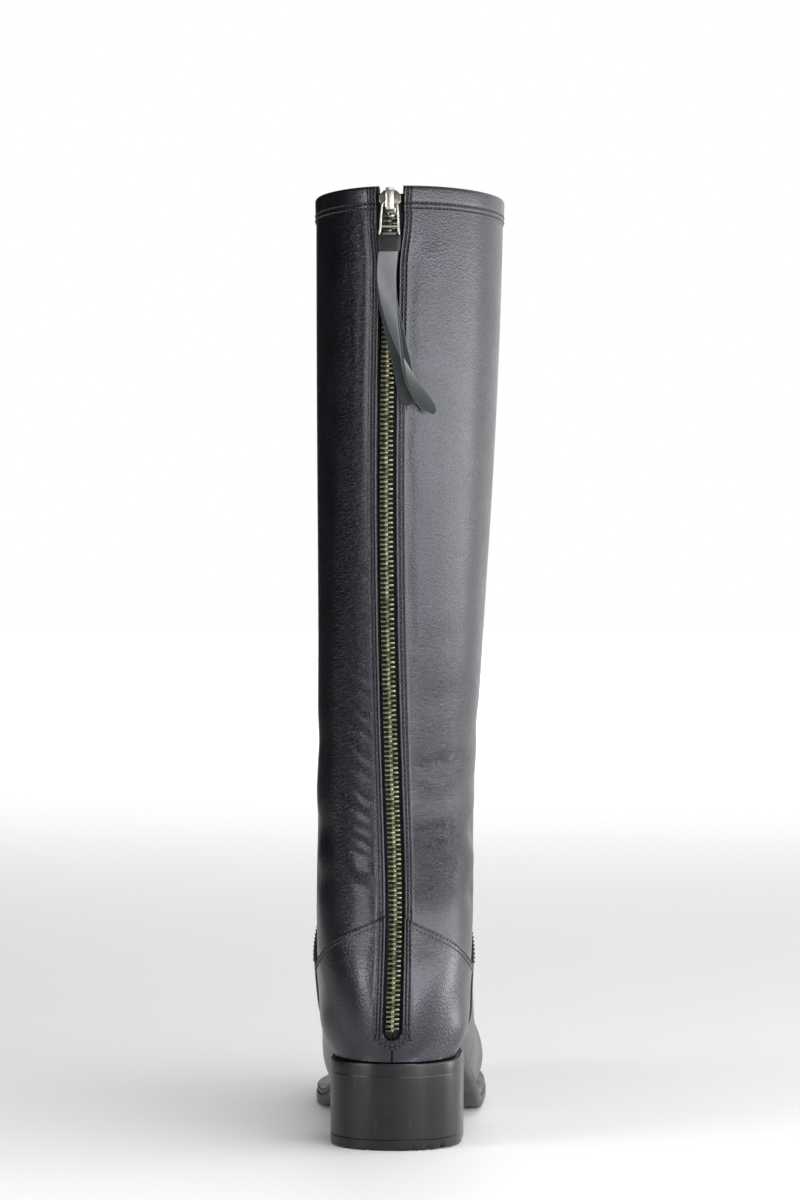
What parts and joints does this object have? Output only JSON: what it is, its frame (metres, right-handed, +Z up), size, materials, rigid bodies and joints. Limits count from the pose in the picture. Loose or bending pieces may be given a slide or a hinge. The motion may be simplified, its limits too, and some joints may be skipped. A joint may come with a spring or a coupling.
{
  "type": "leather knee boot",
  "caption": "Tall leather boot for the right foot, with a full-length zip up the back, a low block heel and a leather zip pull.",
  "frame": {"origin": "middle of the heel's footprint on the floor", "axes": "+Z up the shaft, +Y forward to the toe, +X to the outer (lateral) side of the right foot"},
  "size_m": [0.0998, 0.2863, 0.4401],
  "materials": {
    "upper_leather": "smooth black calf, satin gloss",
    "sole_edge": "black, satin edge",
    "heel": "black lacquer, satin",
    "top_lift": "matt black",
    "insole": "matt",
    "zip_tape": "woven black tape",
    "zip_teeth": "antique brass",
    "zip_hardware": "antique nickel",
    "pull_leather": "black, grain outside and suede inside"
  },
  "bodies": {
    "boot": {"outsole": "sole_edge", "welt": "sole_edge", "heel_block": "heel", "top_lift": "top_lift", "insole": "insole", "upper": "upper_leather", "vamp": "upper_leather", "counter": "upper_leather", "collar_band": "upper_leather", "zip_tape_inner": "zip_tape", "zip_tape_outer": "zip_tape", "zip_chain": "zip_teeth", "zip_slider": "zip_hardware"},
    "pull": {"pull_loop": "zip_hardware", "pull_strap": "pull_leather", "pull_keeper": "pull_leather"}
  },
  "joints": [
    {"name": "pull_swing", "type": "hinge", "parent": "boot", "child": "pull", "pos_m": [-0.00012, -0.03894, 0.43256], "axis": [-1, 0, 0], "range_deg": [0, 150]}
  ]
}
